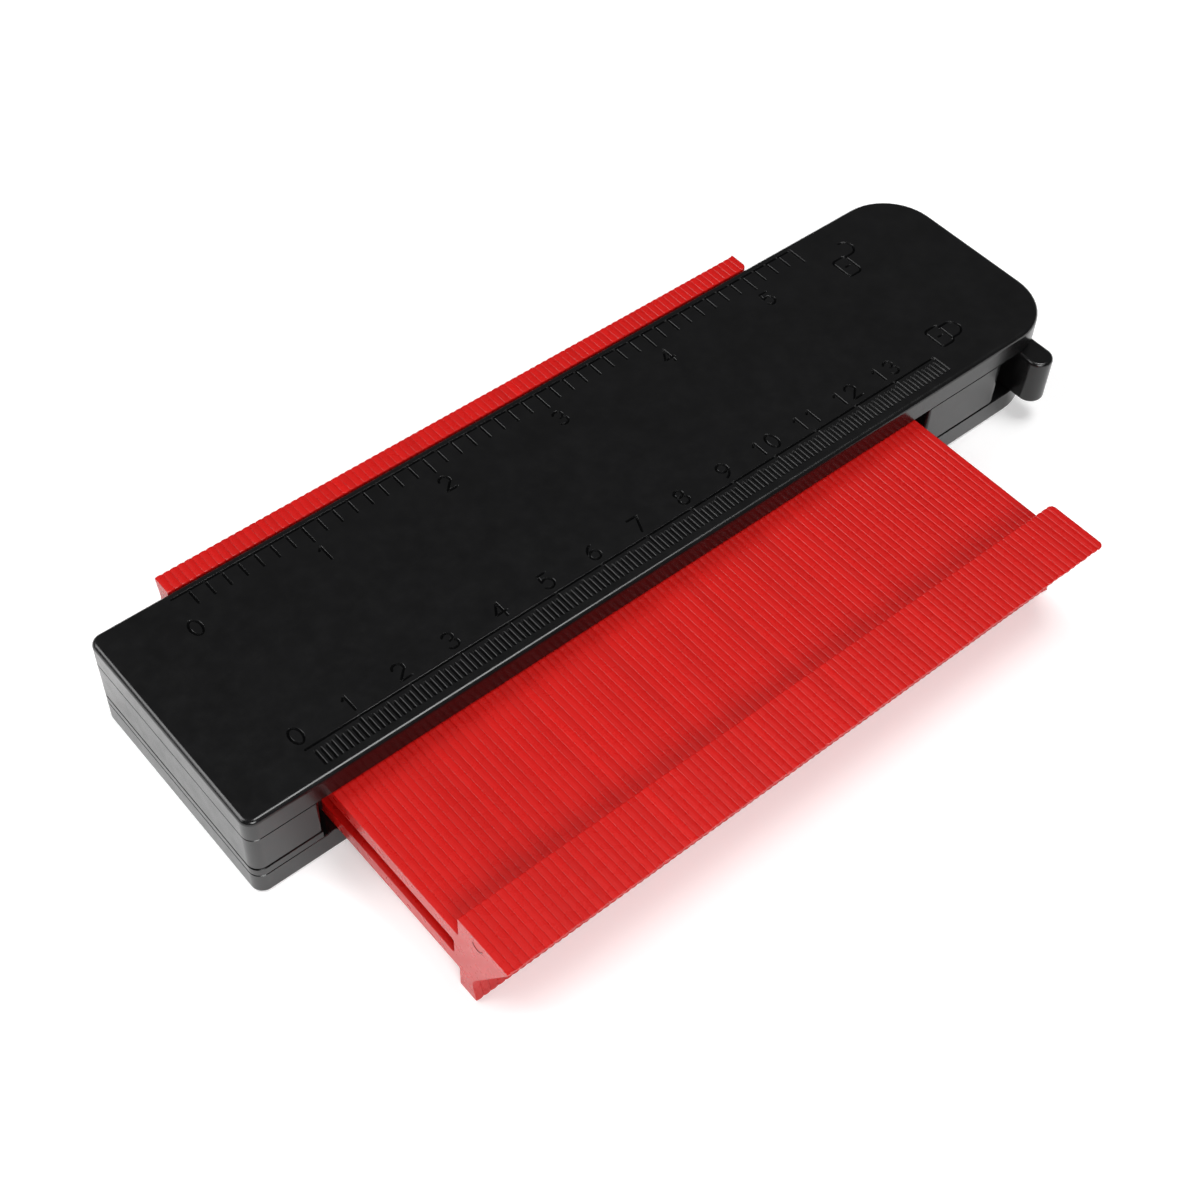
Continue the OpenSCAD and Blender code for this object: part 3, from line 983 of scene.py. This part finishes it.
@dataclass
class CaseScrews:
    """Four case screws whose heads sit in the underside, each with a cross recess."""

    head_r: float = 2.6 * MM
    head_h: float = 1.8 * MM
    shank_r: float = 1.5 * MM
    crown: float = 0.25 * MM
    recess_l: float = 1.55 * MM
    recess_w: float = 0.42 * MM
    recess_h: float = 0.9 * MM
    recess_edge: float = 1.15
    recess_soft: float = 0.3
    flat_share: float = 0.9
    flat_rings: int = 19
    rim_shares: tuple[float, ...] = (0.96, 1.0)
    steps: int = 48

    def __post_init__(self) -> None:
        """Takes the screws' places from their solids."""
        self.low, self.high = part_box("case_screws")
        self.seat_h = self.low.z + self.head_h

    def centres(self) -> Points:
        """Middles of the four screws, seen from above.

        Returns:
            Points of shape (4, 2).
        """
        xs = (self.low.x + self.head_r, self.high.x - self.head_r)
        ys = (self.low.y + self.head_r, self.high.y - self.head_r)
        return np.array([(x, y) for x in xs for y in ys])

    def face(self, centre: Points, solid: Solid) -> None:
        """Crowned face as a polar grid: height rises with r squared and falls into a cross along both axes.

        Args:
            centre: Middle of the screw.
            solid: Mesh that takes the face.
        """
        shares = np.linspace(0.0, self.flat_share, self.flat_rings)
        radii = np.concatenate((shares, self.rim_shares)) * self.head_r
        angle = np.radians(np.arange(self.steps) * 360.0 / self.steps)
        r, a = np.meshgrid(radii[1:], angle, indexing="ij")
        u, v = r * np.cos(a), r * np.sin(a)
        arm = np.minimum(np.maximum(np.abs(u) / self.recess_l, np.abs(v) / self.recess_w),
                         np.maximum(np.abs(v) / self.recess_l, np.abs(u) / self.recess_w))
        depth = self.recess_h * np.clip((self.recess_edge - arm) / self.recess_soft, 0.0, 1.0)
        dome = self.low.z + self.crown * (r / self.head_r) ** 2
        grid = np.stack((u + centre[0], v + centre[1], dome + depth), axis=-1).reshape(-1, 3)
        middle = np.array([[*centre, self.low.z + self.recess_h]])
        rows = len(radii) - 1
        row, place = np.meshgrid(np.arange(rows - 1), np.arange(self.steps), indexing="ij")
        here = 1 + row * self.steps + place
        beside = 1 + row * self.steps + (place + 1) % self.steps
        quads = np.stack((beside, beside + self.steps, here + self.steps, here), axis=-1).reshape(-1, 4)
        fan = np.arange(self.steps)
        hub = np.column_stack((np.zeros_like(fan), 1 + (fan + 1) % self.steps, 1 + fan))
        solid.add(np.concatenate((middle, grid)), quads)
        solid.add(np.concatenate((middle, grid[:self.steps])), hub)

    def make(self, palette: Palette) -> None:
        """Builds the four screws as one piece.

        Args:
            palette: Materials of the part.
        """
        solid = Solid()
        for centre in self.centres():
            self.face(centre, solid)
            head, shank = (ring(centre, r, self.steps) for r in (self.head_r, self.shank_r))
            solid.wall(head, [(0.0, self.low.z + self.crown), (0.0, self.seat_h)])
            solid.cap([head, shank[::-1]], self.seat_h, True)
            solid.wall(shank, [(0.0, self.seat_h), (0.0, self.high.z)])
            solid.cap([shank], self.high.z, True)
        palette.dress(solid.build("case_screw_heads"), STEEL.slot, "frame", "case_screws")


class Sign(Enum):
    """The two lock signs."""

    CLOSED = "closed"
    OPEN = "open"


@dataclass
class ScaleMarks:
    """Scales, numbers and lock signs sunk into the top cover."""

    stroke_w: float = 0.56 * MM
    tick_w: float = 0.64 * MM
    line_w: float = 0.5 * MM
    depth: float = 0.46 * MM
    digit_h: float = 3.3 * MM
    digit_ratio: float = 0.62
    digit_gap: float = 1.1 * MM
    cm: float = 10.0 * MM
    cm_count: int = 14
    cm_zero_x: float = -76.9 * MM
    cm_line_y: float = -16.7 * MM
    cm_digit_y: float = -15.3 * MM
    cm_digit_shift: float = 0.1
    mm_from_y: float = -17.8 * MM
    half_from_y: float = -17.4 * MM
    tick_to_y: float = -20.7 * MM
    inch: float = 25.4 * MM
    eighths: int = 44
    inch_zero_x: float = -77.05 * MM
    inch_line_y: float = 21.4 * MM
    eighth_to_y: float = 18.15 * MM
    inch_to_y: float = 17.3 * MM
    inch_digit_y: float = 12.4 * MM
    sign_x: float = 66.6 * MM
    closed_y: float = -13.4 * MM
    open_y: float = 11.25 * MM
    case_w: float = 5.0 * MM
    case_h: float = 3.3 * MM
    case_r: float = 0.8 * MM
    leg_l: float = 1.6 * MM
    shackle_r: float = 1.8 * MM
    swing_gap: float = 0.3 * MM
    keyhole: tuple[float, float] = (0.42, 0.68)
    cut: list[Groove] = field(default_factory=list)

    def draw(self, line: Points | Sequence[Sequence[float]], closed: bool = False,
             width: float | None = None) -> None:
        """Adds a line to be sunk, of the usual width unless another is given."""
        self.cut.append(Groove(np.asarray(line, float), closed, width or self.stroke_w, self.depth))

    def digit(self, number: int) -> list[tuple[Points, bool]]:
        """Plain strokes of one digit in a box 0.62 wide and 1 high.

        Args:
            number: The digit, 0 to 9.

        Returns:
            Lines, each with whether it is closed.
        """
        strokes = {
            0: lambda: [(ring((0.31, 0.5), (0.31, 0.5), 24), True)],
            1: lambda: [([(0.14, 0.8), (0.34, 1.0)], False), ([(0.34, 1.0), (0.34, 0.0)], False)],
            2: lambda: [(np.vstack((arc((0.31, 0.7), 0.3, 165, -25, 12), [(0.0, 0.0)])), False),
                        ([(0.0, 0.0), (0.62, 0.0)], False)],
            3: lambda: [(arc((0.3, 0.75), (0.27, 0.25), 150, -90, 12), False),
                        (arc((0.3, 0.27), (0.31, 0.27), 75, -150, 12), False)],
            4: lambda: [([(0.46, 0.0), (0.46, 1.0)], False), ([(0.46, 1.0), (0.0, 0.3)], False),
                        ([(0.0, 0.3), (0.64, 0.3)], False)],
            5: lambda: [([(0.58, 1.0), (0.1, 1.0)], False), ([(0.1, 1.0), (0.05, 0.56)], False),
                        (np.vstack(([(0.05, 0.56)], arc((0.29, 0.32), 0.32, 118, -150, 14))), False)],
            6: lambda: [(ring((0.31, 0.29), (0.3, 0.29), 20), True),
                        (arc((0.62, 0.32), (0.61, 0.66), 178, 104, 10), False)],
            7: lambda: [([(0.0, 1.0), (0.62, 1.0)], False), ([(0.62, 1.0), (0.2, 0.0)], False)],
            8: lambda: [(ring((0.31, 0.755), (0.245, 0.235), 20), True),
                        (ring((0.31, 0.27), (0.3, 0.27), 20), True)],
            9: lambda: [(np.array([self.digit_ratio, 1.0]) - line, shut) for line, shut in self.digit(6)],
        }
        return strokes[number]()

    def number(self, value: int, centre_x: float, base_y: float) -> None:
        """Writes a whole number centred on a place of the scale.

        Args:
            value: The number.
            centre_x: Its middle along the row.
            base_y: Its lower edge.
        """
        figures = [int(c) for c in str(value)]
        step = self.digit_ratio * self.digit_h + self.digit_gap
        left = centre_x - (step * (len(figures) - 1) + self.digit_ratio * self.digit_h) / 2
        for index, figure in enumerate(figures):
            corner = np.array([left + index * step, base_y])
            for line, closed in self.digit(figure):
                self.draw(corner + np.asarray(line) * self.digit_h, closed)

    def centimetres(self) -> None:
        """Centimetre scale along the front: a base line, ticks every millimetre and numbers 0 to 13."""
        end = self.cm_zero_x + self.cm_count * self.cm
        self.draw([(self.cm_zero_x, self.cm_line_y), (end, self.cm_line_y)], width=self.line_w)
        for tick in range(1, 10 * self.cm_count + 1):
            x = self.cm_zero_x + tick * self.cm / 10
            start = self.half_from_y if tick % 5 == 0 else self.mm_from_y
            start = self.cm_line_y if tick % 10 == 0 else start
            self.draw([(x, start), (x, self.tick_to_y)], width=self.tick_w)
        for value in range(self.cm_count):
            x = self.cm_zero_x + value * self.cm + self.cm_digit_shift * self.digit_h
            self.number(value, x, self.cm_digit_y)

    def inches(self) -> None:
        """Inch scale along the back: a base line, ticks every eighth and numbers 0 to 5."""
        end = self.inch_zero_x + self.eighths * self.inch / 8
        self.draw([(self.inch_zero_x, self.inch_line_y), (end, self.inch_line_y)], width=self.line_w)
        for tick in range(1, self.eighths + 1):
            x = self.inch_zero_x + tick * self.inch / 8
            long = tick % 8 == 0 or tick == self.eighths
            self.draw([(x, self.inch_line_y), (x, self.inch_to_y if long else self.eighth_to_y)])
        for value in range(self.eighths // 8 + 1):
            self.number(value, self.inch_zero_x + value * self.inch, self.inch_digit_y)

    def sign(self, kind: Sign, y: float) -> None:
        """Padlock that reads from the lever end: its upper side points along +X.

        Args:
            kind: Whether the shackle is in the body or swung out.
            y: Place of the body's middle.
        """
        half_w, height, bow_r = self.case_w / 2, self.case_h, self.shackle_r
        case = rounded_box((-half_w, 0.0), (half_w, height), self.case_r, self.case_r, steps=6)
        bow = arc((0.0, height + self.leg_l), bow_r, 0.0, 180.0, steps=15)
        if kind is Sign.CLOSED:
            bow = np.vstack(([(bow_r, height)], bow, [(-bow_r, height)]))
        else:
            bow = np.vstack(([(bow_r, height)], bow)) - (2 * bow_r + self.swing_gap, 0.0)
        keyhole = np.array([(0.0, share * height) for share in self.keyhole])
        for line, closed in ((case, True), (bow, False), (keyhole, False)):
            self.draw(np.column_stack((self.sign_x + line[:, 1], y - line[:, 0])), closed)

    def grooves(self) -> list[Groove]:
        """Draws both scales and both signs.

        Returns:
            The sunk lines.
        """
        self.cut.clear()
        self.centimetres()
        self.inches()
        self.sign(Sign.CLOSED, self.closed_y)
        self.sign(Sign.OPEN, self.open_y)
        LOG.info("%d sunk lines on the top cover", len(self.cut))
        return self.cut


class InnerParts:
    """Rods, pin, plate and plunger, which keep the shapes of their solids."""

    SLOTS: ClassVar[dict[str, str]] = {
        "front_guide_rod": STEEL.slot, "back_guide_rod": STEEL.slot, "lever_pin": STEEL.slot,
        "plunger": STEEL.slot, "pressure_plate": BLACK.slot}

    def make(self, palette: Palette) -> None:
        """Paints each solid."""
        for node, slot in self.SLOTS.items():
            palette.paint(node, slot)


# Studio

@dataclass
class SoftBox:
    """One rectangular studio light."""

    name: str
    place: tuple[float, float, float]
    aim: tuple[float, float, float]
    size: tuple[float, float]
    power: float

    def make(self) -> None:
        """Hangs the light and turns it to its aim."""
        light = bpy.data.lights.new(self.name, "AREA")
        light.shape = "RECTANGLE"
        light.size, light.size_y = self.size
        light.energy = self.power
        lamp = bpy.data.objects.new(self.name, light)
        lamp.location = self.place
        lamp.rotation_euler = (Vector(self.aim) - Vector(self.place)).to_track_quat("-Z", "Y").to_euler()
        bpy.context.scene.collection.objects.link(lamp)


@dataclass
class Studio:
    """Pale floor with a painted glow, soft lights and the camera at the photograph's place."""

    camera_at: tuple[float, float, float] = (-156.69 * MM, -169.99 * MM, 267.18 * MM)
    camera_to: tuple[float, float, float] = (-22.23 * MM, -22.34 * MM, 20.0 * MM)
    roll_deg: float = 2.922
    lens_mm: float = 57.802
    sensor_mm: float = 36.0
    clip_start: float = 0.01
    floor_half: float = 4.0
    floor_corner_r: float = 0.8
    floor_shade: float = 0.8
    floor_cloud: tuple[float, float] = (0.985, 1.015)
    floor_cloud_size: float = 0.05
    floor_roughness: float = 0.8
    floor_specular: float = 0.1
    floor_drop: float = 0.05 * MM
    # painted light: the floor's glow, with a painted pool of light towards the plain end
    floor_glow: tuple[float, float] = (0.5, 0.3)
    glow_reach: float = 45.0 * MM
    sky: tuple[float, float, float] = (1.0, 1.0, 1.0)
    sky_strength: float = 0.1
    lights: tuple[SoftBox, ...] = (
        SoftBox("key_box", (-0.5, 0.5, 0.78), (0.0, 0.0, 0.0), (0.55, 0.55), 5.1),
        SoftBox("front_box", (0.26, -0.14, 1.07), (0.0, 0.0, 0.0), (0.46, 0.46), 6.5),
        SoftBox("fill_box", (-0.3, -0.72, 0.56), (0.0, -0.03, 0.0), (0.45, 0.35), 4.9),
        SoftBox("edge_box", (-0.82, 0.33, 0.46), (0.0, 0.0, 0.02), (0.35, 0.4), 1.15),
    )

    def camera(self) -> None:
        """Camera that looks along its axis, rolled about it."""
        data = bpy.data.cameras.new("photo_camera")
        data.sensor_width = self.sensor_mm
        data.lens = self.lens_mm
        data.clip_start = self.clip_start
        view = Vector(self.camera_to) - Vector(self.camera_at)
        turn = view.to_track_quat("-Z", "Y").to_matrix().to_4x4()
        camera = bpy.data.objects.new("photo_camera", data)
        camera.matrix_world = (Matrix.Translation(self.camera_at) @ turn
                               @ Matrix.Rotation(math.radians(self.roll_deg), 4, "Z"))
        bpy.context.scene.collection.objects.link(camera)
        bpy.context.scene.camera = camera

    def floor(self) -> None:
        """Wide flat floor that glows as painted light: an even painted glow, and a painted pool of light
        brighter towards the plain end.
        """
        half, corner_r = self.floor_half, self.floor_corner_r
        solid = Solid()
        solid.cap([rounded_box((-half, -half), (half, half), corner_r, corner_r)], -self.floor_drop, True)
        sheet = solid.build("studio_floor")
        bench = NodeBench("pale_floor")
        cloud = bench.span(bench.noise(self.floor_cloud_size), *self.floor_cloud)
        bench.feed(bench.shader, "Base Color", bench.shade((self.floor_shade,) * 3, cloud))
        place = bench.add("ShaderNodeTexCoord").outputs["Object"]
        along = bench.add("ShaderNodeSeparateXYZ", {"Vector": place}).outputs["X"]
        # painted pool of light: the floor's glow rises towards the plain end
        ends = {"Value": along, "From Min": CAD_BOX[0][0] - self.glow_reach / 2,
                "From Max": CAD_BOX[0][0] + self.glow_reach / 2,
                "To Min": self.floor_glow[0], "To Max": self.floor_glow[1]}
        painted_glow = bench.add("ShaderNodeMapRange", ends).outputs["Result"]
        bench.feed(bench.shader, "Emission Strength", painted_glow)
        bench.shader.inputs["Emission Color"].default_value = (1.0, 1.0, 1.0, 1.0)
        bench.shader.inputs["Roughness"].default_value = self.floor_roughness
        bench.shader.inputs["Specular IOR Level"].default_value = self.floor_specular
        sheet.data.materials.append(bench.material)

    def make(self) -> None:
        """Sets up camera, floor, sky and lights."""
        self.camera()
        self.floor()
        world = bpy.data.worlds.new("studio_sky")
        world.use_nodes = True
        sky = world.node_tree.nodes["Background"]
        sky.inputs["Color"].default_value = (*self.sky, 1.0)
        sky.inputs["Strength"].default_value = self.sky_strength
        bpy.context.scene.world = world
        bpy.context.scene.view_settings.view_transform = "Standard"
        for light in self.lights:
            light.make()


def main() -> None:
    """Builds the gauge piece by piece, then the studio round it."""
    logging.basicConfig(level=logging.INFO, format="%(name)s: %(message)s")
    palette = Palette(BLACK, RED, STEEL)
    screws = CaseScrews()
    body = Body()
    body.make(palette, screws, ScaleMarks())
    screws.make(palette)
    TineRow().make(palette)
    LockLever().make(palette)
    InnerParts().make(palette)
    Studio().make()


if __name__ == "__main__":
    main()
